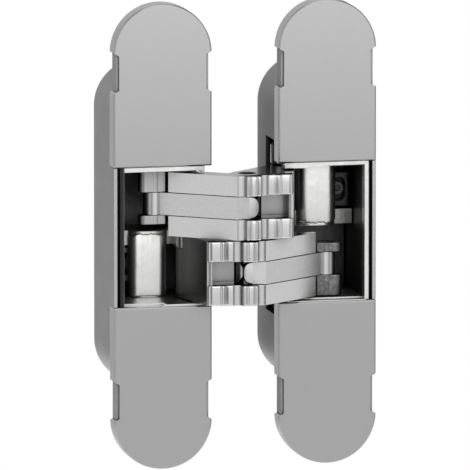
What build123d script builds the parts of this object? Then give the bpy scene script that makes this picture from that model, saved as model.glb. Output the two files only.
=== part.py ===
# Concealed door hinge, 28 x 131.6 mm leaves, shown fully open at 180 degrees.
# Frame leaf on the left, door leaf on the right, two crossing arms between them.
# +Z up, front faces towards -Y. Origin: centre of the frame leaf, on the seat face of its flange.
import os
from math import cos, dist, hypot, radians, sin

from build123d import *

os.makedirs("parts", exist_ok=True)

# leaves
LEAF_WIDTH = 28.0          # over a cover
LEAF_HEIGHT = 131.6        # over both covers
LEAF_PITCH = 47.2          # between leaf centres when open
WINDOW_HEIGHT = 39.6       # open zone between the two covers
LEAF_DEPTH = 34.4          # cover front to the back of the housing

# covers
COVER_DEPTH = 6.0          # cover front to the seat face of the flange
COVER_FACE = 0.9
COVER_WALL = 0.7
COVER_LIFT = 0.3           # skirt stops short of the seat face
COVER_GAP = 0.1            # cover over the flange, all round
COVER_EDGE = 0.35          # softened outer edge
NOTCH_END = 14.5           # upper end of a notch from the end of the leaf
NOTCH_LENGTH = 9.7
NOTCH_DEPTH = 1.5
NOTCH_FLARE = 0.9
STUD_RADIUS = 1.4
STUD_GAP = 0.1
STUD_LENGTH = 4.0
STUD_INSET = (5.2, 4.8)    # from the window edge and from the end of the leaf

# housing
HOUSING_WIDTH = 25.6
HOUSING_INSET = 19.8       # from the end of the leaf
HOUSING_WALL = 1.2
HOUSING_FLOOR = 2.0
CAVITY_GAP = 0.4
SILL_THICKNESS = 2.0       # flange in the window zone
SILL_GAP = 0.4
WINDOW_WALL = 1.0          # outer wall of the window zone, level with the covers
WINDOW_WALL_RECESS = 0.3
WINDOW_WALL_END = 0.15     # short of the covers
SIDE_OPENING_DEPTH = 22.0  # inner side wall is open this far behind the cover front
BACK_EDGE = 1.6

# fixing and adjusting screws
FIXING_INSET = 9.8         # from the end of the leaf
FIXING_RADIUS = 2.3
FIXING_SINK_RADIUS = 4.5
ADJUSTER_INSET = 14.2      # from the window edge
ADJUSTER_HEAD_RADIUS = 3.6
ADJUSTER_HEAD = 3.0
ADJUSTER_SHANK_RADIUS = 2.2
ADJUSTER_SHANK = 9.0
ADJUSTER_GAP = 0.1
ADJUSTER_SINK = 0.4
SOCKET_WIDTH = 3.0
SOCKET_DEPTH = 1.8

# core that carries the pins
CORE_GAP = 0.3
CORE_FLOOR_BACK = 6.0      # front of its back plate, before the back of the housing
CORE_FLOOR = 2.0
CORE_HANG = 0.6            # core and arms hang this far below the middle of the leaf
SHELF_THICKNESS = 5.1
LUG_THICKNESS = 4.2
LUG_DEPTH = 18.2           # front of the middle shelf behind the cover front
LUG_HALF_WIDTH = 3.1
LUG_WALL = 0.9
BOSS_WALL = 1.9
RIM_WIDTH = 24.2
RIM_STRIP = 1.2
RIM_RECESS = 0.8           # front of the window frame behind the cover front
RIM_EDGE = 0.15            # window frame short of the covers
RIM_CUT_LONG = 0.55        # window frame cut back past the shelves, beside the hill and opposite it
RIM_CUT_SHORT = 0.3
NECK_WALL = 0.8            # core where it passes through the flange
HILL_LIP = 0.15
HILL_START = -0.6
HILL_RISE = 2.6
PILLAR_X = -0.6
PILLAR_WIDTH = 11.6
PILLAR_DEPTH = 15.5        # front of the pillar behind the cover front
PILLAR_ROUND = 4.2
TURRET_X = -7.6
TURRET_Z = 9.7
TURRET_WIDTH = 5.6
TURRET_HEIGHT = 9.4
TURRET_DEPTH = 19.0
SLOT_WIDTH = 4.0
SLOT_HEIGHT = 7.0
SLOT_SINK = 4.6
SIDE_SCREW_RADIUS = 1.8
SIDE_SCREW_LENGTH = 2.6

# pivots: x from the leaf centre, depth behind the cover front
ROOT_X = 9.6
ROOT_DEPTH = 13.3
LINK_X = 8.92
LINK_DEPTH = 11.4
TIP_X = -1.0
TIP_DEPTH = 8.3
CENTRE_REACH = 2.5         # centre pin in front of the cover front

# pins and bushes
ROOT_PIN_RADIUS = 1.8
LINK_PIN_RADIUS = 1.5
TIP_PIN_RADIUS = 1.5
CENTRE_PIN_RADIUS = 2.0
BUSH_WALL = 0.55
RUNNING_GAP = 0.05
TIP_GAP = 0.55             # play of the lever on the tip pin
PIN_BURY = 0.5             # pin ends short of the far face of what holds them
PIN_BITE = 1.8             # how deep a pin stands in the middle lug

# arms
ARM_INSET = 1.5            # top of the arms from the window edge
ARM_GAP = 0.4              # between the two stacked arms
ARM_END_GAP = 0.4          # arm to the end shelf
BAR_ANGLE = 36.2
BAR_END_GAP = 5.2          # bars stop short of the far tip pin
BAR_THICKNESS = 5.0
BAR_TIP = 1.5              # flat end of a bar
BAR_TAPER = 5.2            # its back face is cut away this far from the end
LEVER_HEIGHT = 6.3
LEVER_GAP = 0.2
LEVER_REACH = 2.0          # lever tip beyond the centre pin
LEVER_POINT = 1.9          # bevel of the lever tip, above and below
LEVER_POINT_RUN = 2.4
BARREL_RADIUS = 3.2
KNUCKLE_RADIUS = 4.6
KNUCKLE_CORNER = (12.4, 6.4)   # from the centre line, in front of the covers
KNUCKLE_BEND = (4.1, 8.4)
FLUTES = 5
FLUTE_SAG = 0.38
RECESS_DEPTH = 3.4
RECESS_END = 1.4
LUG_CLEARANCE = 0.4

# links
LINK_EYE_RADIUS = 3.0
LINK_NECK_RADIUS = 2.3     # link round its pin, level with the lever
LINK_WAIST = 2.3
LINK_LOW = 3.5             # lower end of the link above the middle lug
EAR_FACE = 2.9             # flat face of an ear in front of the tip pin
EAR_INNER = 2.8
EAR_OUTER = 4.6
EAR_BACK = 1.0              # behind the tip pin's axis
EAR_ROUND = 1.9

MIDDLE = LEAF_PITCH / 2
ARM_LOW = ARM_GAP / 2
ARM_HEIGHT = WINDOW_HEIGHT / 2 - ARM_INSET - ARM_LOW
ARM_TOP = ARM_LOW + ARM_HEIGHT
LEVER_LOW = ARM_LOW + (ARM_HEIGHT - LEVER_HEIGHT) / 2
LEVER_TOP = LEVER_LOW + LEVER_HEIGHT
CORE_HALF = HOUSING_WIDTH / 2 - HOUSING_WALL - CORE_GAP
FLANGE_HALF = LEAF_WIDTH / 2 - COVER_WALL - COVER_GAP
FLANGE_FRONT = COVER_FACE + COVER_GAP - COVER_DEPTH
PAD_START = WINDOW_HEIGHT / 2 + CORE_GAP
NOTCH_HIGH = LEAF_HEIGHT / 2 - NOTCH_END
NOTCH_LOW = NOTCH_HIGH - NOTCH_LENGTH
STUD_HEIGHTS = (WINDOW_HEIGHT / 2 + STUD_INSET[0], LEAF_HEIGHT / 2 - STUD_INSET[1])
HOUSING_HEIGHT = LEAF_HEIGHT - 2 * HOUSING_INSET
FIXING_SPACING = LEAF_HEIGHT - 2 * FIXING_INSET
ADJUSTER_HEIGHT = WINDOW_HEIGHT / 2 + ADJUSTER_INSET
SHELF_HEIGHT = ARM_TOP + ARM_END_GAP
SHELF_TOP = SHELF_HEIGHT + SHELF_THICKNESS
NECK_HALF_HEIGHT = SHELF_HEIGHT + NECK_WALL
CAVITY_HEIGHT = 2 * (SHELF_TOP + CORE_HANG + CAVITY_GAP)
CORE_FLOOR_DEPTH = LEAF_DEPTH - CORE_FLOOR_BACK
LONG = 200.0               # longer than anything here, for cuts


def behind(depth):
    """Y of a place this far behind the front of the covers."""
    return depth - COVER_DEPTH


def door_side(piece):
    """The same piece on the door leaf: turned half round about the middle of the hinge."""
    return piece.rotate(Axis((MIDDLE, 0, 0), (0, 1, 0)), 180)


def hung(piece):
    """A piece of the core or of the arms, lowered to where it hangs in the leaf."""
    return piece.moved(Location((0, 0, -CORE_HANG)))


def save(piece, name):
    """Label a piece and write it."""
    piece.label = name
    export_step(piece, f"parts/{name}.step")


ROOT = (ROOT_X, behind(ROOT_DEPTH))
LINK = (LINK_X, behind(LINK_DEPTH))
TIP = (TIP_X, behind(TIP_DEPTH))
CENTRE = (MIDDLE, behind(-CENTRE_REACH))


# Cover: a thin cap with a round end, notched on both sides, on two clip studs
def cover():
    round_centre = LEAF_HEIGHT / 2 - LEAF_WIDTH / 2
    inner_half = FLANGE_HALF + COVER_GAP
    front = Plane.XZ.offset(COVER_DEPTH)
    with BuildPart() as shell:
        with BuildSketch(front):
            with Locations((0, (WINDOW_HEIGHT / 2 + round_centre) / 2)):
                Rectangle(LEAF_WIDTH, round_centre - WINDOW_HEIGHT / 2)
            with Locations((0, round_centre)):
                Circle(LEAF_WIDTH / 2)
        extrude(amount=COVER_LIFT - COVER_DEPTH)
        chamfer(shell.faces().sort_by(Axis.Y)[0].edges(), COVER_EDGE)
        with BuildSketch(front.offset(-COVER_FACE)):
            with Locations((0, (WINDOW_HEIGHT / 2 + round_centre) / 2)):
                Rectangle(2 * inner_half, round_centre - WINDOW_HEIGHT / 2)
            with Locations((0, round_centre)):
                Circle(inner_half)
        extrude(amount=-COVER_DEPTH, mode=Mode.SUBTRACT)
        with BuildSketch(front.offset(1)):
            for side in (-1, 1):
                edge, inside = side * LEAF_WIDTH / 2, side * (LEAF_WIDTH / 2 - NOTCH_DEPTH)
                with BuildLine():
                    Polyline(
                        (edge + side, NOTCH_LOW - NOTCH_FLARE),
                        (edge, NOTCH_LOW - NOTCH_FLARE),
                        (inside, NOTCH_LOW),
                        (inside, NOTCH_HIGH),
                        (edge, NOTCH_HIGH + NOTCH_FLARE),
                        (edge + side, NOTCH_HIGH + NOTCH_FLARE),
                        close=True,
                    )
                make_face()
        extrude(amount=-COVER_DEPTH - 2, mode=Mode.SUBTRACT)
        with BuildSketch(front.offset(-COVER_FACE / 2)):
            for height in STUD_HEIGHTS:
                with Locations((0, height)):
                    Circle(STUD_RADIUS)
        extrude(amount=-COVER_FACE / 2 - STUD_LENGTH)
    return shell.part


# Housing: flange with round ends, stadium cup behind it, cavity open to the front and the inner side
def housing():
    flange_height = LEAF_HEIGHT / 2 - COVER_WALL - COVER_GAP
    cavity_half = HOUSING_WIDTH / 2 - HOUSING_WALL
    cavity_back = behind(LEAF_DEPTH - HOUSING_FLOOR)
    front = Plane.XZ.offset(-FLANGE_FRONT)
    with BuildPart() as body:
        with BuildSketch(front):
            SlotOverall(2 * flange_height, 2 * FLANGE_HALF, rotation=90)
        extrude(amount=FLANGE_FRONT)
        with BuildSketch(Plane.XZ):
            SlotOverall(HOUSING_HEIGHT, HOUSING_WIDTH, rotation=90)
        extrude(amount=-behind(LEAF_DEPTH))
        chamfer(body.faces().sort_by(Axis.Y)[-1].edges(), BACK_EDGE)
        # step of the window zone, window through the flange, cavity behind it
        with BuildSketch(front):
            Rectangle(LEAF_WIDTH, 2 * PAD_START)
        extrude(amount=FLANGE_FRONT + SILL_THICKNESS, mode=Mode.SUBTRACT)
        with BuildSketch(Plane.XZ.offset(SILL_THICKNESS)):
            with Locations(((LEAF_WIDTH / 2 - cavity_half) / 2, 0)):
                Rectangle(cavity_half + LEAF_WIDTH / 2, 2 * PAD_START)
        extrude(amount=-SILL_THICKNESS - SILL_GAP, mode=Mode.SUBTRACT)
        with BuildSketch(Plane.XZ.offset(-SILL_GAP)):
            Rectangle(2 * cavity_half, CAVITY_HEIGHT)
        extrude(amount=SILL_GAP - cavity_back, mode=Mode.SUBTRACT)
        with BuildSketch(Plane.XZ.offset(-SILL_GAP)):
            with Locations((HOUSING_WIDTH / 2, 0)):
                Rectangle(4 * HOUSING_WALL, CAVITY_HEIGHT)
        extrude(amount=SILL_GAP - behind(SIDE_OPENING_DEPTH), mode=Mode.SUBTRACT)
        with BuildSketch(Plane.XZ):
            with Locations(((WINDOW_WALL - LEAF_WIDTH) / 2, 0)):
                Rectangle(WINDOW_WALL, WINDOW_HEIGHT - 2 * WINDOW_WALL_END)
        extrude(amount=COVER_DEPTH - WINDOW_WALL_RECESS)
        # countersunk fixing holes in the ends of the flange
        with Locations(front):
            with GridLocations(0, FIXING_SPACING, 1, 2):
                CounterSinkHole(FIXING_RADIUS, FIXING_SINK_RADIUS, depth=-2 * FLANGE_FRONT)
        # seats of the adjusting screws and holes for the clip studs
        with BuildSketch(front):
            for side in (-1, 1):
                with Locations((0, side * ADJUSTER_HEIGHT)):
                    Circle(ADJUSTER_HEAD_RADIUS + ADJUSTER_GAP)
        extrude(amount=-ADJUSTER_HEAD - ADJUSTER_SINK, mode=Mode.SUBTRACT)
        with BuildSketch(front):
            for side in (-1, 1):
                with Locations((0, side * ADJUSTER_HEIGHT)):
                    Circle(ADJUSTER_SHANK_RADIUS + ADJUSTER_GAP)
        extrude(amount=-ADJUSTER_HEAD - ADJUSTER_SINK - ADJUSTER_SHANK - ADJUSTER_SINK, mode=Mode.SUBTRACT)
        with BuildSketch(front):
            for side in (-1, 1):
                for height in STUD_HEIGHTS:
                    with Locations((0, side * height)):
                        Circle(STUD_RADIUS + STUD_GAP)
        extrude(amount=-STUD_LENGTH - ADJUSTER_SINK, mode=Mode.SUBTRACT)
    return body.part


# Adjusting screw: cylinder head with a hexagon socket
def adjuster(side):
    head = Plane.XZ.offset(-FLANGE_FRONT - ADJUSTER_SINK)
    place = (0, side * ADJUSTER_HEIGHT)
    with BuildPart() as screw:
        with BuildSketch(head):
            with Locations(place):
                Circle(ADJUSTER_HEAD_RADIUS)
        extrude(amount=-ADJUSTER_HEAD)
        chamfer(screw.faces().sort_by(Axis.Y)[0].edges(), COVER_EDGE)
        with BuildSketch(head.offset(-ADJUSTER_HEAD)):
            with Locations(place):
                Circle(ADJUSTER_SHANK_RADIUS)
        extrude(amount=-ADJUSTER_SHANK)
        with BuildSketch(head):
            with Locations(place):
                RegularPolygon(SOCKET_WIDTH / 2, 6, major_radius=False)
        extrude(amount=-SOCKET_DEPTH, mode=Mode.SUBTRACT)
    return screw.part


# Core: window frame, two end shelves, back plate, middle lug, pillar and the seat of the side screw
def core(hang):
    back = behind(CORE_FLOOR_DEPTH)
    shelf_front = SILL_GAP + CORE_GAP
    rim_front = Plane.XZ.offset(-behind(RIM_RECESS))
    rim_depth = SILL_THICKNESS + behind(RIM_RECESS)
    rim_inner = RIM_WIDTH / 2 - RIM_STRIP
    hill_end = HILL_START + HILL_RISE
    hill_height = SHELF_HEIGHT - HILL_LIP
    cut_low = -SHELF_HEIGHT - RIM_CUT_LONG
    with BuildPart() as carrier:
        with BuildSketch(Plane.XZ.offset(-back)):
            Rectangle(2 * CORE_HALF, 2 * SHELF_TOP)
        extrude(amount=-CORE_FLOOR)
        # end shelves, with a round boss for the pin on the inner side
        for low, pivot, radius in (
            (SHELF_HEIGHT, LINK, LINK_PIN_RADIUS),
            (-SHELF_TOP, ROOT, ROOT_PIN_RADIUS),
        ):
            with BuildSketch(Plane.XY.offset(low)):
                with Locations(((pivot[0] - CORE_HALF) / 2, (shelf_front + back) / 2)):
                    Rectangle(pivot[0] + CORE_HALF, back - shelf_front)
                with Locations(pivot):
                    Circle(radius + BOSS_WALL)
                with Locations(((pivot[0] + CORE_HALF) / 2, (pivot[1] + back) / 2)):
                    Rectangle(CORE_HALF - pivot[0], back - pivot[1])
            extrude(amount=SHELF_TOP - SHELF_HEIGHT)
        # necks through the flange and the window frame in front of it
        for side in (-1, 1):
            with BuildSketch(Plane.XY.offset(side * (SHELF_HEIGHT + NECK_HALF_HEIGHT) / 2)):
                with Locations((0, (behind(RIM_RECESS) + shelf_front) / 2)):
                    Rectangle(2 * CORE_HALF, shelf_front - behind(RIM_RECESS))
            extrude(amount=(NECK_HALF_HEIGHT - SHELF_HEIGHT) / 2, both=True)
        with BuildSketch(rim_front):
            with Locations((0, hang)):
                Rectangle(RIM_WIDTH, WINDOW_HEIGHT - 2 * RIM_EDGE)
            with Locations(((RIM_WIDTH / 2 - rim_inner) / 2, 0)):
                Rectangle(RIM_WIDTH / 2 + rim_inner, 2 * SHELF_HEIGHT, mode=Mode.SUBTRACT)
        extrude(amount=rim_depth)
        # the frame is cut back above, and below outside the hill
        with BuildSketch(rim_front):
            with Locations((0, SHELF_HEIGHT + RIM_CUT_SHORT / 2)):
                Rectangle(2 * rim_inner, RIM_CUT_SHORT)
            with BuildLine():
                Polyline(
                    (hill_end, -hill_height + 1),
                    (-rim_inner, -hill_height + 1),
                    (-rim_inner, cut_low),
                    (HILL_START, cut_low),
                )
                Spline(
                    (HILL_START, cut_low),
                    (hill_end, -hill_height),
                    tangents=((1, 0), (1, 0)),
                )
                Line((hill_end, -hill_height), (hill_end, -hill_height + 1))
            make_face()
        extrude(amount=rim_depth, mode=Mode.SUBTRACT)
        # middle lug on its shelf
        with BuildSketch(Plane.XY.offset(-LUG_THICKNESS)):
            with Locations((0, (behind(LUG_DEPTH) + back) / 2)):
                Rectangle(2 * CORE_HALF, back - behind(LUG_DEPTH))
            with Locations(((ROOT[0] - LUG_HALF_WIDTH + CORE_HALF) / 2, (ROOT[1] + back) / 2)):
                Rectangle(CORE_HALF - ROOT[0] + LUG_HALF_WIDTH, back - ROOT[1])
            with Locations(ROOT):
                Circle(LUG_HALF_WIDTH)
            with Locations(LINK):
                Circle(LINK_PIN_RADIUS + LUG_WALL)
        extrude(amount=LUG_THICKNESS)
        # pillar with a flat front and round shoulders between the lug and the lower shelf
        pillar_front, pillar_back = behind(PILLAR_DEPTH), back + CORE_FLOOR / 2
        with BuildSketch(Plane.XY.offset(-SHELF_HEIGHT)) as outline:
            with Locations((PILLAR_X, (pillar_front + pillar_back) / 2)):
                Rectangle(PILLAR_WIDTH, pillar_back - pillar_front)
            fillet(outline.vertices().group_by(Axis.Y)[0], PILLAR_ROUND)
        extrude(amount=SHELF_HEIGHT)
        # seat of the side screw
        with BuildSketch(Plane.XZ.offset(-back)):
            with Locations((TURRET_X, -TURRET_Z)):
                Rectangle(TURRET_WIDTH, TURRET_HEIGHT)
        extrude(amount=back - behind(TURRET_DEPTH))
        with BuildSketch(Plane.XZ.offset(-behind(TURRET_DEPTH))):
            with Locations((TURRET_X, -TURRET_Z)):
                SlotOverall(SLOT_HEIGHT, SLOT_WIDTH, rotation=90)
        extrude(amount=-SLOT_SINK, mode=Mode.SUBTRACT)
        # holes of the root pin from below and of the link pin from above
        with Locations(Plane(origin=(*ROOT, PIN_BITE - LUG_THICKNESS), z_dir=(0, 0, 1))):
            Cylinder(ROOT_PIN_RADIUS, LONG, align=(Align.CENTER, Align.CENTER, Align.MAX), mode=Mode.SUBTRACT)
        with Locations(Plane(origin=(*LINK, -PIN_BITE), z_dir=(0, 0, 1))):
            Cylinder(LINK_PIN_RADIUS, LONG, align=(Align.CENTER, Align.CENTER, Align.MIN), mode=Mode.SUBTRACT)
    return carrier.part


# Side adjusting screw in its slot
def side_screw():
    head = Plane.XZ.offset(-behind(TURRET_DEPTH + SLOT_SINK - SIDE_SCREW_LENGTH))
    with BuildPart() as screw:
        with BuildSketch(head):
            with Locations((TURRET_X, -TURRET_Z)):
                Circle(SIDE_SCREW_RADIUS)
        extrude(amount=-SIDE_SCREW_LENGTH)
        with BuildSketch(head):
            with Locations((TURRET_X, -TURRET_Z)):
                RegularPolygon(SIDE_SCREW_RADIUS / 2, 6, major_radius=False)
        extrude(amount=-SIDE_SCREW_LENGTH / 2, mode=Mode.SUBTRACT)
    return screw.part


# A round pin or bush standing on Z
def pin(place, radius, low, high, bore=0.0):
    with BuildPart() as rod:
        with BuildSketch(Plane.XY.offset(low)):
            with Locations(place):
                Circle(radius)
                if bore:
                    Circle(bore, mode=Mode.SUBTRACT)
        extrude(amount=high - low)
    return rod.part


def toward_bar(start, along, back):
    """A point this far along the bar from start, and this far behind its front face."""
    angle = radians(BAR_ANGLE)
    return (
        start[0] + along * cos(angle) - back * sin(angle),
        start[1] + along * sin(angle) + back * cos(angle),
    )


CORNER = (MIDDLE - KNUCKLE_CORNER[0], behind(-KNUCKLE_CORNER[1]))
BEND = (MIDDLE + KNUCKLE_BEND[0], behind(-KNUCKLE_BEND[1]))
FAR_TIP = (LEAF_PITCH - TIP[0], TIP[1])
TIP_REACH = (FAR_TIP[0] - BEND[0]) * cos(radians(BAR_ANGLE)) + (FAR_TIP[1] - BEND[1]) * sin(radians(BAR_ANGLE))
BAR_LENGTH = TIP_REACH - BAR_END_GAP
BAR_END = toward_bar(BEND, BAR_LENGTH, 0)


def flutes(start, end, count, sag):
    """A row of round ridges from start to end, bulging to the front."""
    step = ((end[0] - start[0]) / count, (end[1] - start[1]) / count)
    length = hypot(*step)
    for i in range(count):
        a = (start[0] + i * step[0], start[1] + i * step[1])
        b = (a[0] + step[0], a[1] + step[1])
        top = ((a[0] + b[0]) / 2 + sag * step[1] / length, (a[1] + b[1]) / 2 - sag * step[0] / length)
        ThreePointArc(a, top, b)


# Arm of the frame leaf: root barrel, web, fluted knuckle and the two bars beside the lever
def arm(centre_bore):
    bar_back = toward_bar(BEND, BAR_THICKNESS, BAR_THICKNESS)
    taper = toward_bar(BEND, BAR_LENGTH - BAR_TAPER, BAR_THICKNESS)
    channel_low, channel_high = -LEVER_TOP - LEVER_GAP, -LEVER_LOW + LEVER_GAP
    front = behind(-KNUCKLE_BEND[1]) - FLUTE_SAG - 1
    recess_side = CORNER[0] + RECESS_END
    with BuildPart() as casting:
        with BuildSketch(Plane.XY.offset(-ARM_TOP)):
            with BuildLine():
                flutes(CORNER, BEND, FLUTES, FLUTE_SAG)
                Polyline(
                    BEND,
                    BAR_END,
                    (BAR_END[0], BAR_END[1] + BAR_TIP),
                    taper,
                    bar_back,
                    (ROOT[0] + BARREL_RADIUS, ROOT[1]),
                    (ROOT[0] - BARREL_RADIUS, ROOT[1]),
                    CORNER,
                )
            make_face()
            with Locations(CENTRE):
                Circle(KNUCKLE_RADIUS)
            with Locations(ROOT):
                Circle(BARREL_RADIUS)
        extrude(amount=ARM_HEIGHT)
        # channel for the lever: all of the bar, the eye round the centre pin, a recess across the knuckle
        with BuildSketch(Plane.XY.offset(channel_low)):
            with BuildLine():
                Polyline(
                    (recess_side, front),
                    (LONG, front),
                    (LONG, LONG),
                    toward_bar(bar_back, LONG, LEVER_GAP),
                    toward_bar(bar_back, 0, LEVER_GAP),
                    (CENTRE[0], CENTRE[1] + KNUCKLE_RADIUS / 2),
                    (CENTRE[0] - KNUCKLE_RADIUS / 2, CORNER[1] + RECESS_DEPTH),
                    (recess_side, CORNER[1] + RECESS_DEPTH),
                    close=True,
                )
            make_face()
            with Locations(CENTRE):
                Circle(KNUCKLE_RADIUS - LUG_WALL + LEVER_GAP)
        extrude(amount=channel_high - channel_low, mode=Mode.SUBTRACT)
        # room for the middle lug of the core above the barrel
        with BuildSketch(Plane.XY.offset(-LUG_THICKNESS - ARM_LOW)):
            with Locations(ROOT):
                Circle(dist(ROOT, LINK) + LINK_PIN_RADIUS + LUG_WALL + LUG_CLEARANCE)
        extrude(amount=LUG_THICKNESS + ARM_LOW, mode=Mode.SUBTRACT)
        with Locations(ROOT):
            Cylinder(ROOT_PIN_RADIUS + RUNNING_GAP + BUSH_WALL, LONG, mode=Mode.SUBTRACT)
        with Locations(CENTRE):
            Cylinder(centre_bore, LONG, mode=Mode.SUBTRACT)
    return casting.part


# Lever of the frame arm: steel bar with a pointed tip, an eye on the centre pin and one on the far tip pin
def lever(centre_bore):
    tip_x = MIDDLE - LEVER_REACH
    slope = (BEND[1] - CORNER[1]) / (BEND[0] - CORNER[0])
    tip_y = BEND[1] + slope * (tip_x - BEND[0])
    with BuildPart() as bar:
        with BuildSketch(Plane.XY.offset(-LEVER_TOP)):
            with BuildLine():
                Polyline(
                    (tip_x, tip_y),
                    BEND,
                    toward_bar(BEND, TIP_REACH, 0),
                    toward_bar(BEND, TIP_REACH, BAR_THICKNESS),
                    toward_bar(BEND, BAR_THICKNESS, BAR_THICKNESS),
                    (CENTRE[0], CENTRE[1] + KNUCKLE_RADIUS / 2),
                    (tip_x, CENTRE[1]),
                    close=True,
                )
            make_face()
            with Locations(CENTRE):
                Circle(KNUCKLE_RADIUS - LUG_WALL - LEVER_GAP)
            with Locations(FAR_TIP):
                Circle(LINK_EYE_RADIUS)
        extrude(amount=LEVER_HEIGHT)
        # the tip is cut to a point, seen from the front
        with BuildSketch(Plane.XZ):
            for corner, side in ((-LEVER_TOP, 1), (-LEVER_LOW, -1)):
                with BuildLine():
                    Polyline(
                        (tip_x - 1, corner),
                        (tip_x, corner + side * LEVER_POINT),
                        (tip_x + LEVER_POINT_RUN, corner),
                        (tip_x + LEVER_POINT_RUN, corner - side),
                        (tip_x - 1, corner - side),
                        close=True,
                    )
                make_face()
        extrude(amount=LONG, both=True, mode=Mode.SUBTRACT)
        with Locations(CENTRE):
            Cylinder(centre_bore, LONG, mode=Mode.SUBTRACT)
        with Locations(FAR_TIP):
            Cylinder(TIP_PIN_RADIUS + TIP_GAP, LONG, mode=Mode.SUBTRACT)
    return bar.part


# Link of the frame leaf: two flat ears on the tip pin, joined round the link pin
def link():
    gap_low, gap_high = LEVER_LOW - LEVER_GAP, LEVER_TOP + LEVER_GAP
    length = dist(LINK, TIP)
    across = (LINK_WAIST * (LINK[1] - TIP[1]) / length, -LINK_WAIST * (LINK[0] - TIP[0]) / length)
    with BuildPart() as yoke:
        with BuildSketch(Plane.XY.offset(LINK_LOW)):
            with Locations(LINK, TIP):
                Circle(LINK_EYE_RADIUS)
            with BuildLine():
                Polyline(
                    (TIP[0] + across[0], TIP[1] + across[1]),
                    (LINK[0] + across[0], LINK[1] + across[1]),
                    (LINK[0] - across[0], LINK[1] - across[1]),
                    (TIP[0] - across[0], TIP[1] - across[1]),
                    close=True,
                )
            make_face()
            with Locations((TIP[0] + (EAR_INNER - EAR_OUTER) / 2, TIP[1] + (EAR_BACK - EAR_FACE) / 2)):
                RectangleRounded(EAR_INNER + EAR_OUTER, EAR_FACE + EAR_BACK, EAR_ROUND)
            with Locations((TIP[0] + EAR_INNER / 2, TIP[1] - EAR_FACE / 2)):
                Rectangle(EAR_INNER, EAR_FACE)
        extrude(amount=ARM_TOP - LINK_LOW)
        with BuildSketch(Plane.XY.offset(gap_low)):
            Rectangle(LONG, LONG)
            with Locations(LINK):
                Circle(LINK_NECK_RADIUS, mode=Mode.SUBTRACT)
        extrude(amount=gap_high - gap_low, mode=Mode.SUBTRACT)
        with Locations(LINK):
            Cylinder(LINK_PIN_RADIUS + RUNNING_GAP, LONG, mode=Mode.SUBTRACT)
        with Locations(TIP):
            Cylinder(TIP_PIN_RADIUS, LONG, mode=Mode.SUBTRACT)
    return yoke.part


# The frame leaf's fixed pieces, and their twins on the door leaf
upper_cover = cover()
fixed_pieces = {
    "cover_upper": upper_cover,
    "cover_lower": upper_cover.mirror(Plane.XY),
    "housing": housing(),
    "height_screw": adjuster(1),
    "depth_screw": adjuster(-1),
}
for name, piece in fixed_pieces.items():
    twin = name.replace("upper", "turned").replace("lower", "upper").replace("turned", "lower")
    save(piece, f"frame_{name}")
    save(door_side(piece), f"door_{twin}")

# The core and what it carries
save(hung(core(CORE_HANG)), "frame_core")
save(hung(door_side(core(-CORE_HANG))), "door_core")
core_pieces = {
    "side_screw": side_screw(),
    "root_pin": pin(ROOT, ROOT_PIN_RADIUS, PIN_BURY - SHELF_TOP, PIN_BITE - LUG_THICKNESS),
    "link_pin": pin(LINK, LINK_PIN_RADIUS, -PIN_BITE, SHELF_TOP - PIN_BURY),
    "link": link(),
    "tip_pin": pin(TIP, TIP_PIN_RADIUS, LINK_LOW, ARM_TOP),
}
for name, piece in core_pieces.items():
    save(hung(piece), f"frame_{name}")
    save(hung(door_side(piece)), f"door_{name}")

# The arms: the lower one turns on the frame leaf, the upper one on the door leaf
bush_radius = CENTRE_PIN_RADIUS + RUNNING_GAP + BUSH_WALL
root_bush = pin(
    ROOT,
    ROOT_PIN_RADIUS + RUNNING_GAP + BUSH_WALL,
    -ARM_TOP,
    -LUG_THICKNESS - ARM_LOW,
    ROOT_PIN_RADIUS + RUNNING_GAP,
)
arm_pieces = {
    "lower_arm": arm(CENTRE_PIN_RADIUS),
    "lower_lever": lever(CENTRE_PIN_RADIUS),
    "lower_root_bush": root_bush,
    "upper_arm": door_side(arm(bush_radius)),
    "upper_lever": door_side(lever(bush_radius)),
    "upper_root_bush": door_side(root_bush),
    "centre_pin": pin(CENTRE, CENTRE_PIN_RADIUS, PIN_BURY - ARM_TOP, ARM_TOP - PIN_BURY),
    "centre_bush": pin(CENTRE, bush_radius, ARM_LOW, ARM_TOP, CENTRE_PIN_RADIUS + RUNNING_GAP),
}
for name, piece in arm_pieces.items():
    save(hung(piece), name)
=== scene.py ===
from math import cos, radians, sin

import bmesh
import bpy
import numpy as np
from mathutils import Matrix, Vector


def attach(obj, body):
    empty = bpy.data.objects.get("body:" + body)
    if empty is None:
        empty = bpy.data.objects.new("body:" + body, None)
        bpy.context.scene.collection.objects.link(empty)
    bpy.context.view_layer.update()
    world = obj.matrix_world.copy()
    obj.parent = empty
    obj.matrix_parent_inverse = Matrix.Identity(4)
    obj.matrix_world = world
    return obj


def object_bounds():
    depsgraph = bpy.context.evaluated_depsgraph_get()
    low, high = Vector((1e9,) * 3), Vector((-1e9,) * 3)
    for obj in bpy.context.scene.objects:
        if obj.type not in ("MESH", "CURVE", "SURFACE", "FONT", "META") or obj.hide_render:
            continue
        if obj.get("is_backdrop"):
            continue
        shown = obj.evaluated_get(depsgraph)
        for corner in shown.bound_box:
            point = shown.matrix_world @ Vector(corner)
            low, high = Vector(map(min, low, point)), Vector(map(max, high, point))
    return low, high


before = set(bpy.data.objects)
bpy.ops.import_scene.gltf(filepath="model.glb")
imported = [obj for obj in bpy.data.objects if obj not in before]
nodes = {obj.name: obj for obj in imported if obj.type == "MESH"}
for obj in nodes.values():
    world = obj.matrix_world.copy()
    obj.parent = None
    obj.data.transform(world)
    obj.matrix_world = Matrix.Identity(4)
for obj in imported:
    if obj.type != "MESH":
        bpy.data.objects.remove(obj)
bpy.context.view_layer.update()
mm = 0.001
print("solids loaded:", len(nodes))


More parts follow.
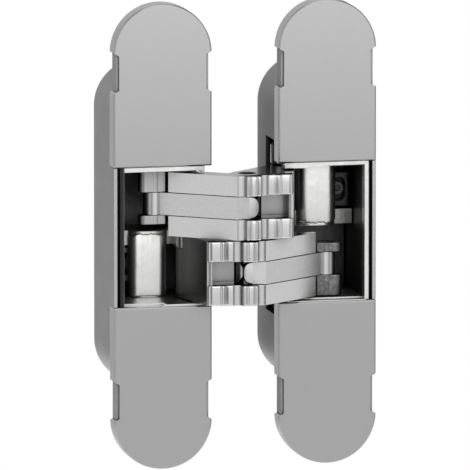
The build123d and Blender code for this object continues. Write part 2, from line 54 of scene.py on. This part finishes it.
def linearColour(hexText):
    # sRGB hex to linear light: the low part divided by 12.92, the rest a 2.4 power
    part = np.array([int(hexText[i:i + 2], 16) / 255 for i in (1, 3, 5)])
    low, high = part / 12.92, ((part + 0.055) / 1.055) ** 2.4
    return (*np.where(part <= 0.04045, low, high).tolist(), 1.0)


def addNode(tree, kind, inputs=None, links=None, **settings):
    # one node: its settings, its socket values, and the sockets that feed it
    node = tree.nodes.new(kind)
    for name, value in settings.items():
        setattr(node, name, value)
    for name, value in (inputs or {}).items():
        node.inputs[name].default_value = value
    for name, source in (links or {}).items():
        tree.links.new(source, node.inputs[name])
    return node


def emptyTree(owner):
    # the owner's node tree with nothing in it
    owner.use_nodes = True
    owner.node_tree.nodes.clear()
    return owner.node_tree


# what all plated skins share: the detail of the two noises, the span of the grain that goes from one tone to
# the other, how a normal turns from front to side (along Y) and from upright to upper face (along Z), and how
# open a hollow is at both ends of its fading, for the painted shade on sides, tops and in hollows
plating = {"grainDetail": 4.0, "grainRoughness": 0.6, "cloudDetail": 2.0, "toneSpan": (0.3, 0.7),
           "sideTurn": (-0.76, -0.40), "topTurn": (0.5, 0.9), "openness": (0.15, 0.95),
           "hollowShadeRays": 8, "edgeRays": 6}

# each finish, with lengths in mm. tone: its two greys; gloss: roughness from and to; grain, depth, strength:
# size and height of the cast or rolled grain, drawn coarse enough to show; stretch: its scale along X, Y and Z;
# cloud, wave, waveStrength: size and height of the slow unevenness; edge: radius that catches light;
# hollowShade: how near something is, and the share of the tone left there, painted shade in hollows. Where given,
# painted shade too: sides and topShade are the shares left on faces turned to the side and upwards, thin
# is where along Y the tone fades darker deeper in (from, to, share left), and stripShadow where along X a dark
# band of painted shadow ends (from, to, share left)
finishes = {
    # satin chrome on a pressed cover: even grey, a soft sheen, almost no grain
    "satinChromePlate": {
        "tone": ("#B6B6B6", "#BBBBBB"), "gloss": (0.30, 0.36), "edge": 0.22, "hollowShade": (6.0, 0.75),
        "grain": 0.35, "depth": 0.008, "strength": 0.2, "stretch": (1.0, 1.0, 1.0),
        "cloud": 9.0, "wave": 0.01, "waveStrength": 0.1},
    # matt chrome on the die cast zinc cup: darker, with the skin of the mould, and dark inside as painted shade
    "mattChromeCasting": {
        "tone": ("#BEBEBF", "#C8C8C9"), "gloss": (0.40, 0.50), "edge": 0.3, "hollowShade": (40.0, 0.10),
        "grain": 0.55, "depth": 0.02, "strength": 0.3, "stretch": (1.0, 1.0, 1.0),
        "cloud": 7.0, "wave": 0.04, "waveStrength": 0.2, "sides": 0.95, "topShade": 0.8},
    # bright nickel on the cast core: mirror glossy over an uneven skin, and darkened deeper in as painted shade
    "brightNickelCasting": {
        "tone": ("#EFEFED", "#F8F8F6"), "gloss": (0.26, 0.40), "edge": 0.3, "hollowShade": (5.0, 0.45),
        "grain": 0.7, "depth": 0.03, "strength": 0.4, "stretch": (1.0, 1.0, 0.5),
        "cloud": 3.4, "wave": 0.35, "waveStrength": 0.35,
        "sides": 0.8, "topShade": 0.8, "thin": (9.8, 15.0, 0.10)},
    # satin chrome on the linished arms: fine sandy grain that catches light on the edges, with painted shade on
    # sides, tops and deeper in
    "satinChromeCasting": {
        "tone": ("#DCDCDC", "#EBEBEB"), "gloss": (0.17, 0.27), "edge": 0.2, "hollowShade": (7.0, 0.12),
        "grain": 0.30, "depth": 0.02, "strength": 0.35, "stretch": (1.0, 1.0, 1.0),
        "cloud": 4.0, "wave": 0.05, "waveStrength": 0.25,
        "sides": 0.38, "topShade": 0.45, "thin": (-1.0, 3.5, 0.28)},
    # satin chrome on the frame leaf's small link: the arms' skin, toned a shade darker as painted shade
    "satinChromeLinkShaded": {
        "tone": ("#BDBDBD", "#CACACA"), "gloss": (0.24, 0.36), "edge": 0.2, "hollowShade": (6.0, 0.15),
        "grain": 0.30, "depth": 0.02, "strength": 0.35, "stretch": (1.0, 1.0, 1.0),
        "cloud": 3.0, "wave": 0.05, "waveStrength": 0.25,
        "sides": 0.38, "topShade": 0.5, "thin": (-1.0, 3.5, 0.3)},
    # the door leaf's link: toned grey as painted shade, where it lies in the shade of the window; mottled and
    # rough
    "mottledLinkInShade": {
        "tone": ("#6A6A6B", "#A0A0A1"), "gloss": (0.30, 0.48), "edge": 0.3, "hollowShade": (6.0, 0.15),
        "grain": 0.9, "depth": 0.05, "strength": 0.6, "stretch": (1.0, 1.0, 1.0),
        "cloud": 2.2, "wave": 0.20, "waveStrength": 0.45,
        "sides": 0.45, "topShade": 0.5, "thin": (-1.0, 5.0, 0.3)},
    # plated steel levers and pins, ground along their length: a finer, drawn-out grain, with painted shade on
    # sides, tops and deeper in
    "groundSteel": {
        "tone": ("#D8D8D8", "#E6E6E6"), "gloss": (0.24, 0.34), "edge": 0.2, "hollowShade": (3.0, 0.45),
        "grain": 0.25, "depth": 0.015, "strength": 0.3, "stretch": (0.3, 0.3, 1.0),
        "cloud": 5.0, "wave": 0.04, "waveStrength": 0.2,
        "sides": 0.38, "topShade": 0.5, "thin": (-0.5, 4.0, 0.3)},
    # steel plate toned charcoal as painted shade: dull and even
    "charcoalShadeSteel": {
        "tone": ("#4C4C4E", "#5A5A5C"), "gloss": (0.40, 0.52), "edge": 0.15, "hollowShade": (3.0, 0.6),
        "grain": 0.20, "depth": 0.01, "strength": 0.3, "stretch": (1.0, 1.0, 1.0),
        "cloud": 2.0, "wave": 0.02, "waveStrength": 0.2},
    # zinc plated screws: darker, a little cloudy
    "zincPlatedSteel": {
        "tone": ("#77787A", "#8C8D8F"), "gloss": (0.30, 0.45), "edge": 0.15, "hollowShade": (4.0, 0.35),
        "grain": 0.30, "depth": 0.02, "strength": 0.3, "stretch": (1.0, 1.0, 1.0),
        "cloud": 2.0, "wave": 0.03, "waveStrength": 0.2},
}
# the frame leaf's core: the same nickel, but its outer strip dark as painted shadow along the cover's edge
finishes["brightNickelStripped"] = {**finishes["brightNickelCasting"], "stripShadow": (-11.1, -10.6, 0.05)}


def platedMetal(name, look):
    # colour = the grain between two tones, times one share after another of painted shade: in hollows, on sides
    # and tops, deeper along Y, and in a dark band along X.
    # normal = edges rounded, then waved by the clouds, then roughened by the grain
    material = bpy.data.materials.new(name)
    tree = emptyTree(material)
    where = addNode(tree, "ShaderNodeTexCoord")
    place = where.outputs["Object"]
    drawn = addNode(tree, "ShaderNodeMapping", {"Scale": look["stretch"]}, {"Vector": place})
    grain = addNode(tree, "ShaderNodeTexNoise",
                    {"Scale": 1 / (look["grain"] * mm), "Detail": plating["grainDetail"],
                     "Roughness": plating["grainRoughness"]}, {"Vector": drawn.outputs["Vector"]})
    cloud = addNode(tree, "ShaderNodeTexNoise",
                    {"Scale": 1 / (look["cloud"] * mm), "Detail": plating["cloudDetail"]}, {"Vector": place})
    gloss = addNode(tree, "ShaderNodeMapRange", {"To Min": look["gloss"][0], "To Max": look["gloss"][1]},
                    {"Value": cloud.outputs["Fac"]})
    tones = addNode(tree, "ShaderNodeValToRGB", links={"Fac": grain.outputs["Fac"]})
    for stop, position, hexText in zip(tones.color_ramp.elements, plating["toneSpan"], look["tone"]):
        stop.position, stop.color = position, linearColour(hexText)

    # painted shade, where the tone is darkened: what it is read from, from, to, share at from, share at to
    depth = addNode(tree, "ShaderNodeSeparateXYZ", links={"Vector": place})
    facing = addNode(tree, "ShaderNodeSeparateXYZ", links={"Vector": where.outputs["Normal"]})
    # painted shade: the tone is darkened where other surfaces are near, in hollows and corners
    shadeInHollows = addNode(tree, "ShaderNodeAmbientOcclusion", {"Distance": look["hollowShade"][0] * mm},
                      samples=plating["hollowShadeRays"])
    fades = [(shadeInHollows.outputs["AO"], *plating["openness"], look["hollowShade"][1], 1.0)]
    # painted shade: faces turned to the side or upwards are darkened
    if "sides" in look:
        fades.append((facing.outputs["Y"], *plating["sideTurn"], 1.0, look["sides"]))
    if "topShade" in look:
        fades.append((facing.outputs["Z"], *plating["topTurn"], 1.0, look["topShade"]))
    # painted shade: the tone fades darker deeper along Y, into the pockets and channels
    if "thin" in look:
        start, end, left = look["thin"]
        fades.append((depth.outputs["Y"], start * mm, end * mm, 1.0, left))
    # painted shadow: a dark band along X on the frame leaf's core
    if "stripShadow" in look:
        start, end, left = look["stripShadow"]
        fades.append((depth.outputs["X"], start * mm, end * mm, left, 1.0))
    colour = tones.outputs["Color"]
    for source, start, end, first, last in fades:
        share = addNode(tree, "ShaderNodeMapRange",
                        {"From Min": start, "From Max": end, "To Min": first, "To Max": last}, {"Value": source})
        faded = addNode(tree, "ShaderNodeVectorMath", links={0: colour, "Scale": share.outputs["Result"]},
                        operation="SCALE")
        colour = faded.outputs["Vector"]

    edge = addNode(tree, "ShaderNodeBevel", {"Radius": look["edge"] * mm}, samples=plating["edgeRays"])
    wave = addNode(tree, "ShaderNodeBump", {"Strength": look["waveStrength"], "Distance": look["wave"] * mm},
                   {"Height": cloud.outputs["Fac"], "Normal": edge.outputs["Normal"]})
    bump = addNode(tree, "ShaderNodeBump", {"Strength": look["strength"], "Distance": look["depth"] * mm},
                   {"Height": grain.outputs["Fac"], "Normal": wave.outputs["Normal"]})
    skin = addNode(tree, "ShaderNodeBsdfPrincipled", {"Metallic": 1.0},
                   {"Base Color": colour, "Roughness": gloss.outputs["Result"],
                    "Normal": bump.outputs["Normal"]})
    addNode(tree, "ShaderNodeOutputMaterial", links={"Surface": skin.outputs["BSDF"]})
    return material


metals = {name: platedMetal(name, look) for name, look in finishes.items()}

# moulded acetal bushes: near black, faintly mottled, dull
acetalLook = {"tone": ("#232325", "#303033"), "gloss": (0.4, 0.55), "speck": 0.4, "detail": 3.0}


def mouldedAcetal(look):
    # colour and roughness both follow one fine speck
    material = bpy.data.materials.new("mouldedAcetal")
    tree = emptyTree(material)
    place = addNode(tree, "ShaderNodeTexCoord").outputs["Object"]
    speck = addNode(tree, "ShaderNodeTexNoise", {"Scale": 1 / (look["speck"] * mm), "Detail": look["detail"]},
                    {"Vector": place})
    dull = addNode(tree, "ShaderNodeMapRange", {"To Min": look["gloss"][0], "To Max": look["gloss"][1]},
                   {"Value": speck.outputs["Fac"]})
    tones = addNode(tree, "ShaderNodeValToRGB", links={"Fac": speck.outputs["Fac"]})
    for stop, hexText in zip(tones.color_ramp.elements, look["tone"]):
        stop.color = linearColour(hexText)
    skin = addNode(tree, "ShaderNodeBsdfPrincipled", links={"Base Color": tones.outputs["Color"],
                   "Roughness": dull.outputs["Result"]})
    addNode(tree, "ShaderNodeOutputMaterial", links={"Surface": skin.outputs["BSDF"]})
    return material


# finish by the last of these words in a solid's name, and the solids that differ from their kind
finishOf = {
    "cover": metals["satinChromePlate"],
    "housing": metals["mattChromeCasting"],
    "core": metals["brightNickelCasting"],
    "link": metals["satinChromeLinkShaded"],
    "arm": metals["satinChromeCasting"],
    "lever": metals["groundSteel"],
    "pin": metals["groundSteel"],
    "screw": metals["zincPlatedSteel"],
    "bush": mouldedAcetal(acetalLook),
}
finishOfOne = {"frame_core": metals["brightNickelStripped"], "door_link": metals["mottledLinkInShade"]}
for name, solid in nodes.items():
    kind = [k for k in finishOf if k in name.split("_")][-1]
    solid.data.materials.clear()
    solid.data.materials.append(finishOfOne.get(name, finishOf[kind]))
print("finishes given to", len(nodes), "solids")

# added pieces are measured from the hinge's middle: mm to the right, mm in front of the covers, mm up.
# middle and coverFront: where that is in the frame; hang: how far the cores and arms hang low in the leaves
leaf = {"middle": 23.6, "coverFront": -6.0, "hang": 0.6}


def closedPiece(name, points, faces):
    # points and faces into a mesh, faces turned outwards, smooth but for edges sharper than 50 degrees
    mesh = bpy.data.meshes.new(name)
    mesh.from_pydata(points.tolist(), [], faces)
    shell = bmesh.new()
    shell.from_mesh(mesh)
    bmesh.ops.recalc_face_normals(shell, faces=shell.faces)
    shell.to_mesh(mesh)
    shell.free()
    mesh.shade_smooth()
    mesh.set_sharp_from_angle(angle=radians(50))
    piece = bpy.data.objects.new(name, mesh)
    bpy.context.scene.collection.objects.link(piece)
    return piece


def sweptCasting(name, across, front, back, low, high, edge, turned=False, cornerPoints=6):
    # sections along X, each a closed loop: back low, a quarter circle at both front edges, back high.
    # turned: half round about the middle of the hinge, X to -X and Z to -Z, before the core hangs down
    t = np.linspace(0.0, np.pi / 2, cornerPoints)
    one = np.ones((len(across), 1))
    rails = (np.broadcast_to(np.asarray(rail, float), across.shape) for rail in (front, back, low, high))
    f, b, lo, hi = (rail[:, None] for rail in rails)
    depth = np.hstack([b * one, f - edge * (1 - np.sin(t)), f - edge * (1 - np.cos(t)), b * one])
    height = np.hstack([lo * one, lo + edge * (1 - np.cos(t)), hi - edge * (1 - np.sin(t)), hi * one])
    side = np.broadcast_to(across[:, None], depth.shape)
    if turned:
        side, height = -side, -height - 2 * leaf["hang"]
    points = np.stack([leaf["middle"] + side, leaf["coverFront"] - depth, height], axis=2).reshape(-1, 3) * mm
    count, ring = depth.shape
    i, j = np.meshgrid(np.arange(count - 1), np.arange(ring), indexing="ij")
    k = (j + 1) % ring
    corners = [i * ring + j, (i + 1) * ring + j, (i + 1) * ring + k, i * ring + k]
    quads = np.stack(corners, axis=2).reshape(-1, 4)
    caps = [list(range(ring)), list(range((count - 1) * ring, count * ring))]
    return closedPiece(name, points, quads.tolist() + caps)


def softened(across, values, width):
    # Gaussian running mean over a width in mm
    step = across[1] - across[0]
    reach = np.arange(-int(3 * width / step) - 1, int(3 * width / step) + 2) * step
    weight = np.exp(-0.5 * (reach / width) ** 2)
    padded = np.pad(values, len(reach) // 2, mode="edge")
    return np.convolve(padded, weight / weight.sum(), mode="valid")


def ragged(across, waves):
    # sum of share * sin(rate * x + phase), brought to between -1 and 1
    rate, share, phase = (np.array(part)[:, None] for part in zip(*waves))
    return (share * np.sin(across * rate + phase)).sum(axis=0) / share.sum()


# noses of the knuckles, as the upper arm has them. They clothe the plain flutes of the casting in the uneven,
# wider ones that the mould leaves. profile: (mm right, mm in front); cheeks: low and high of the upper and the
# lower one
nose = {"profile": ((-4.3, 8.1), (-3.5, 8.3), (-2.3, 8.25), (-1.95, 8.7), (-1.6, 9.5), (-1.3, 9.75),
                    (-0.9, 9.75), (-0.6, 9.3), (-0.3, 9.75), (0.9, 9.75), (1.25, 9.6), (1.5, 9.2), (1.8, 9.5),
                    (2.4, 9.5), (2.7, 9.1), (3.0, 7.75), (3.4, 7.55), (6.4, 7.5), (7.2, 7.7), (8.0, 7.95),
                    (8.4, 7.8), (8.8, 7.5), (9.3, 7.5), (11.0, 7.6), (11.8, 7.3), (12.3, 6.7), (12.45, 5.6)),
        "cheeks": ((12.0, 17.7), (-0.4, 5.3)), "sunk": 1.0, "round": 0.4, "soften": 0.13, "stations": 150}


def knuckleNoses(look):
    # front = the profile's corners joined by straight runs, then softened; back = sunk behind its chord
    x, q = np.array(look["profile"]).T
    across = np.linspace(x[0], x[-1], look["stations"])
    front = softened(across, np.interp(across, x, q), look["soften"])
    back = np.interp(across, (x[0], x[-1]), (q[0], q[-1])) - look["sunk"]
    for body, turned in (("upper_arm", False), ("lower_arm", True)):
        for place, (low, high) in zip(("top", "bottom"), look["cheeks"]):
            cheek = sweptCasting(f"{body}_nose_{place}", across, front, back, low, high, look["round"], turned)
            cheek.data.materials.append(metals["satinChromeCasting"])
            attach(cheek, body)


# rounded end of a lever, which fills the corners of its bevels in front of the centre bush.
# line: the lever's front at a place, mm to the right of that place, and its slope
leverEnd = {"across": (-0.7, 2.1), "round": 2.75, "power": 2.6, "middle": 8.65, "half": 3.14,
            "line": (8.4, -4.1, -0.1212), "proud": 0.08, "thick": 2.3, "edge": 0.3, "stations": 60}


def leverEnds(look):
    # half height = half * (1 - t^p)^(1/p), t from 0 to nearly 1 along the end; front along the lever's line
    across = np.linspace(*look["across"], look["stations"])
    t = (across - across[0]) / look["round"]
    half = look["half"] * (1 - np.minimum(t, 1.0) ** look["power"]) ** (1 / look["power"])
    start, place, slope = look["line"]
    front = start + slope * (across - place) + look["proud"] * np.minimum(t, 1.0)
    for body, turned in (("upper_arm", False), ("lower_arm", True)):
        end = sweptCasting(f"{body}_lever_end", across, front, front - look["thick"], look["middle"] - half,
                           look["middle"] + half, look["edge"], turned)
        end.data.materials.append(metals["groundSteel"])
        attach(end, body)


# flat cast face of the pillar in the pocket, a little proud of its round shoulders.
# waves: rate, share and phase of the ragged upper edge; sink: how much lower that edge is at the shoulders
pillarFace = {"across": (-29.9, -18.9), "height": (-19.2, -1.0), "front": -15.3, "shoulder": 2.6, "back": -20.5,
              "waves": ((1.7, 1.0, 0.5), (4.3, 0.8, 0.0), (10.3, 0.4, 2.0)), "ragged": 0.5, "sink": 0.8,
              "round": 0.5, "stations": 100}


def pillarFaces(look):
    # front falls back on a quarter circle at both shoulders; upper edge ragged, and lower towards the shoulders
    across = np.linspace(*look["across"], look["stations"])
    r = look["shoulder"]
    inside = np.clip(np.minimum(across - across[0], across[-1] - across), 0.0, r)
    front = look["front"] - (r - np.sqrt(r * r - (r - inside) ** 2))
    low, high = look["height"]
    top = high - look["ragged"] * (1 + ragged(across, look["waves"])) / 2 - look["sink"] * (1 - inside / r)
    for leafName, turned in (("frame", False), ("door", True)):
        face = sweptCasting(f"{leafName}_pillar_face", across, front, look["back"], low, top, look["round"],
                            turned)
        face.data.materials.append(metals["brightNickelCasting"])
        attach(face, f"{leafName}_leaf")


# low walls of the cast core at the foot of the window, with the ragged edge of a trimmed casting.
# waves: rate, share and phase of that edge; ease: mm squared in which the ends rise; sink: share of the height
footWall = {"across": (-24.3, -11.0), "height": (-20.7, -19.45), "front": -0.9, "back": -6.0,
            "waves": ((2.1, 1.0, 0.0), (4.7, 0.7, 1.3), (9.1, 0.5, 0.4)), "ragged": 0.22, "uneven": 0.1,
            "ease": 9.0, "sink": 0.8, "round": 0.15, "stations": 120}


def footWalls(look):
    # upper edge = its height less a ragged part, sinking at both ends; the front wavers with it
    across = np.linspace(*look["across"], look["stations"])
    wobble = ragged(across, look["waves"])
    ends = np.clip((across - across[0]) * (across[-1] - across) / look["ease"], 0.0, 1.0)
    low, top = look["height"]
    high = top - look["ragged"] * (1 - wobble) / 2 - (1 - ends) * look["sink"] * (top - low)
    front = look["front"] + look["uneven"] * wobble
    for leafName, turned in (("frame", False), ("door", True)):
        wall = sweptCasting(f"{leafName}_foot_wall", across, front, look["back"], low, high, look["round"], turned)
        wall.data.materials.append(metals["brightNickelCasting"])
        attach(wall, f"{leafName}_leaf")


# plate round the slot of the side screw, dark as painted shade: its centre, half sizes of the plate and of its
# slot, and the power that squares its corners
seatPlate = {"centre": (-31.20, -9.70), "plate": (2.90, 4.80), "slot": (2.05, 3.55), "square": 0.18,
             "chamfer": 0.2, "front": -18.65, "thick": 0.9, "stations": 96}


def seatPlates(look):
    # outside a superellipse, a * cos^n and b * sin^n; inside a slot with half-round ends; joined front and back
    t = np.linspace(0.0, 2 * np.pi, look["stations"], endpoint=False)
    c, s = np.cos(t), np.sin(t)
    (ax, az), (bx, bz) = look["plate"], look["slot"]
    n = look["square"]
    outer = np.stack([ax * np.sign(c) * np.abs(c) ** n, az * np.sign(s) * np.abs(s) ** n], axis=1)
    inner = np.stack([bx * c, bx * s + np.sign(s) * (bz - bx)], axis=1)
    front, back, cut = look["front"], look["front"] - look["thick"], look["chamfer"]
    smaller = outer * (1 - cut / ax)
    rings = ((inner, back), (inner, front), (smaller, front), (outer, front - cut), (outer, back))
    flat = np.concatenate([ring for ring, _ in rings])
    depth = np.repeat([q for _, q in rings], len(t))
    i, j = np.meshgrid(np.arange(len(rings)), np.arange(len(t)), indexing="ij")
    ring, k, nextRing = len(t), (j + 1) % len(t), (i + 1) % len(rings)
    corners = [i * ring + j, nextRing * ring + j, nextRing * ring + k, i * ring + k]
    quads = np.stack(corners, axis=2).reshape(-1, 4)
    for leafName, sign in (("frame", 1), ("door", -1)):
        side = sign * (look["centre"][0] + flat[:, 0])
        height = sign * (look["centre"][1] + flat[:, 1]) - leaf["hang"]
        points = np.stack([leaf["middle"] + side, leaf["coverFront"] - depth, height], axis=1) * mm
        plate = closedPiece(f"{leafName}_seat_plate", points, quads.tolist())
        plate.data.materials.append(metals["charcoalShadeSteel"])
        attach(plate, f"{leafName}_leaf")


knuckleNoses(nose)
leverEnds(leverEnd)
pillarFaces(pillarFace)
seatPlates(seatPlate)
footWalls(footWall)
print("noses, lever ends, pillar faces, seat plates and foot walls made")


def seenRays(tree):
    # 1 for the rays that look at the background: camera, mirror and glass rays
    ray = addNode(tree, "ShaderNodeLightPath")
    mirror = addNode(tree, "ShaderNodeMath", operation="MAXIMUM",
                     links={0: ray.outputs["Is Camera Ray"], 1: ray.outputs["Is Glossy Ray"]})
    glass = addNode(tree, "ShaderNodeMath", operation="MAXIMUM",
                    links={0: mirror.outputs["Value"], 1: ray.outputs["Is Transmission Ray"]})
    return glass.outputs["Value"]


# pale studio: white to the camera, and to the metal a tent that is brightest in front and above,
# with two upright black flags that draw the flutes. turn: where along Y the tent goes from back to front;
# flags: (X of the direction, share of light left); backdrop: how far back a direction points to see white
tent = {"front": 0.80, "back": 0.20, "turn": (0.45, -0.10), "above": 0.10, "below": -0.15, "backdrop": 0.93,
        "flags": ((-0.80, 0.95), (-0.45, 0.20), (-0.15, 1.0), (0.38, 1.0), (0.62, 0.15), (0.86, 0.95))}


def studioWorld(look):
    # level = front to back blend along Y, times the flags along X, plus a share of Z; the camera sees 1
    world = bpy.data.worlds.new("studio")
    bpy.context.scene.world = world
    tree = emptyTree(world)
    way = addNode(tree, "ShaderNodeTexCoord").outputs["Generated"]
    split = addNode(tree, "ShaderNodeSeparateXYZ", links={"Vector": way})
    blend = addNode(tree, "ShaderNodeMapRange", {"From Min": look["turn"][0], "From Max": look["turn"][1],
                    "To Min": look["back"], "To Max": look["front"]}, {"Value": split.outputs["Y"]},
                    interpolation_type="SMOOTHSTEP")
    lift = addNode(tree, "ShaderNodeMapRange",
                   {"From Min": -1.0, "From Max": 1.0, "To Min": look["below"], "To Max": look["above"]},
                   {"Value": split.outputs["Z"]})
    across = addNode(tree, "ShaderNodeMapRange", {"From Min": -1.0, "From Max": 1.0},
                     {"Value": split.outputs["X"]})
    flags = addNode(tree, "ShaderNodeValToRGB", links={"Fac": across.outputs["Result"]})
    flags.color_ramp.interpolation = "EASE"
    stops = flags.color_ramp.elements
    for place, share in look["flags"]:
        stops.new((place + 1) / 2).color = (share, share, share, 1.0)
    stops[0].color = stops[-1].color = (1.0, 1.0, 1.0, 1.0)
    flagged = addNode(tree, "ShaderNodeMath", links={0: blend.outputs["Result"], 1: flags.outputs["Color"]},
                      operation="MULTIPLY")
    level = addNode(tree, "ShaderNodeMath", links={0: flagged.outputs["Value"], 1: lift.outputs["Result"]},
                    operation="ADD", use_clamp=True)
    # mirror and glass rays see the white too, in the directions that lie behind the hinge
    behindIt = addNode(tree, "ShaderNodeMath", {1: look["backdrop"]}, {0: split.outputs["Y"]},
                       operation="GREATER_THAN")
    backdrop = addNode(tree, "ShaderNodeMath", links={0: behindIt.outputs["Value"], 1: seenRays(tree)},
                       operation="MULTIPLY")
    ray = addNode(tree, "ShaderNodeLightPath")
    white = addNode(tree, "ShaderNodeMath", operation="MAXIMUM",
                    links={0: ray.outputs["Is Camera Ray"], 1: backdrop.outputs["Value"]})
    seen = addNode(tree, "ShaderNodeMath", operation="MAXIMUM",
                   links={0: white.outputs["Value"], 1: level.outputs["Value"]})
    shine = addNode(tree, "ShaderNodeBackground", {"Color": (1.0, 1.0, 1.0, 1.0)},
                    {"Strength": seen.outputs["Value"]})
    addNode(tree, "ShaderNodeOutputWorld", links={"Surface": shine.outputs["Background"]})


# the floor, in mm: drop below the hinge, half its side, where it starts and ends to fade (shares of that half),
# paint: the share of white that is paint, and so takes the hinge's shadow
floorLook = {"drop": 150.0, "reach": 450.0, "fade": (0.35, 0.95), "paint": 0.62, "tone": "#F4F4F4"}


def studioFloor(look):
    # a flat square below the hinge; share = 1 in the middle to 0 at its rim, where it is lost in the white.
    # Camera, mirror and glass rays see (1 - paint * share) of white, and over it the paint with the shadow
    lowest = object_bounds()[0][2] - look["drop"] * mm
    reach, middle = look["reach"] * mm, leaf["middle"] * mm
    u, v = np.meshgrid((-reach, reach), (-reach, reach))
    points = np.stack([u.ravel() + middle, v.ravel(), np.full(4, lowest)], axis=1)
    mesh = bpy.data.meshes.new("floor")
    mesh.from_pydata(points.tolist(), [], [(0, 1, 3, 2)])
    floor = bpy.data.objects.new("floor", mesh)
    bpy.context.scene.collection.objects.link(floor)
    material = bpy.data.materials.new("paleFloor")
    tree = emptyTree(material)
    place = addNode(tree, "ShaderNodeTexCoord").outputs["Object"]
    flat = addNode(tree, "ShaderNodeVectorMath", {1: (1.0, 1.0, 0.0)}, {0: place}, operation="MULTIPLY")
    far = addNode(tree, "ShaderNodeVectorMath", {1: (middle, 0.0, 0.0)}, {0: flat.outputs["Vector"]},
                  operation="DISTANCE")
    start, end = (part * reach for part in look["fade"])
    share = addNode(tree, "ShaderNodeMapRange",
                    {"From Min": start, "From Max": end, "To Min": 1.0, "To Max": 0.0},
                    {"Value": far.outputs["Value"]}, interpolation_type="SMOOTHSTEP")
    glow = addNode(tree, "ShaderNodeMath", {0: -look["paint"], 2: 1.0}, {1: share.outputs["Result"]},
                   operation="MULTIPLY_ADD")
    glowSeen = addNode(tree, "ShaderNodeMath", links={0: glow.outputs["Value"], 1: seenRays(tree)},
                       operation="MULTIPLY")
    paintTone = addNode(tree, "ShaderNodeVectorMath", {0: linearColour(look["tone"])[:3]},
                        {"Scale": share.outputs["Result"]}, operation="SCALE")
    paint = addNode(tree, "ShaderNodeBsdfDiffuse", links={"Color": paintTone.outputs["Vector"]})
    white = addNode(tree, "ShaderNodeEmission", {"Color": (1.0, 1.0, 1.0, 1.0)},
                    {"Strength": glowSeen.outputs["Value"]})
    both = addNode(tree, "ShaderNodeAddShader", links={0: paint.outputs["BSDF"], 1: white.outputs["Emission"]})
    addNode(tree, "ShaderNodeOutputMaterial", links={"Surface": both.outputs["Shader"]})
    mesh.materials.append(material)
    floor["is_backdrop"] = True
    return floor


# two soft lamps: size, place and aim in mm, power in watts
softboxes = {"frontAbove": {"size": (520, 300), "place": (110, -400, 165), "aim": (110, 0, 165), "power": 0.48},
             "overhead": {"size": (500, 300), "place": (-60, -160, 520), "aim": (23.6, 0, 0), "power": 0.12}}


def softbox(name, look):
    # a rectangular lamp at its place, turned to its aim
    lamp = bpy.data.lights.new(name, "AREA")
    lamp.shape, lamp.energy = "RECTANGLE", look["power"]
    lamp.size, lamp.size_y = (side * mm for side in look["size"])
    holder = bpy.data.objects.new(name, lamp)
    bpy.context.scene.collection.objects.link(holder)
    place, aim = Vector(look["place"]), Vector(look["aim"])
    holder.location = place * mm
    holder.rotation_euler = (aim - place).to_track_quat("-Z", "Y").to_euler()


studioWorld(tent)
studioFloor(floorLook)
for name, look in softboxes.items():
    softbox(name, look)
print("studio set")

# camera as in the photograph: long lens, from the front left and a little above. width: mm across the picture
view = {"azimuth": -12.5, "elevation": 8.6, "distance": 4000.0, "centre": (20.64, -6.0, -0.09), "width": 131.7,
        "sensor": 36.0, "clip": (0.01, 20.0)}


def photoCamera(look):
    # direction = (sin az * cos el, -cos az * cos el, sin el); lens = sensor * distance / width
    turn, lift = radians(look["azimuth"]), radians(look["elevation"])
    away = Vector((sin(turn) * cos(lift), -cos(turn) * cos(lift), sin(lift)))
    data = bpy.data.cameras.new("photoCamera")
    data.sensor_width = look["sensor"]
    data.lens = look["sensor"] * look["distance"] / look["width"]
    data.clip_start, data.clip_end = look["clip"]
    camera = bpy.data.objects.new("photoCamera", data)
    bpy.context.scene.collection.objects.link(camera)
    camera.location = Vector(look["centre"]) * mm + away * look["distance"] * mm
    camera.rotation_euler = (-away).to_track_quat("-Z", "Y").to_euler()
    bpy.context.scene.camera = camera


photoCamera(view)
bpy.context.scene.view_settings.view_transform = "Standard"
print("camera set")
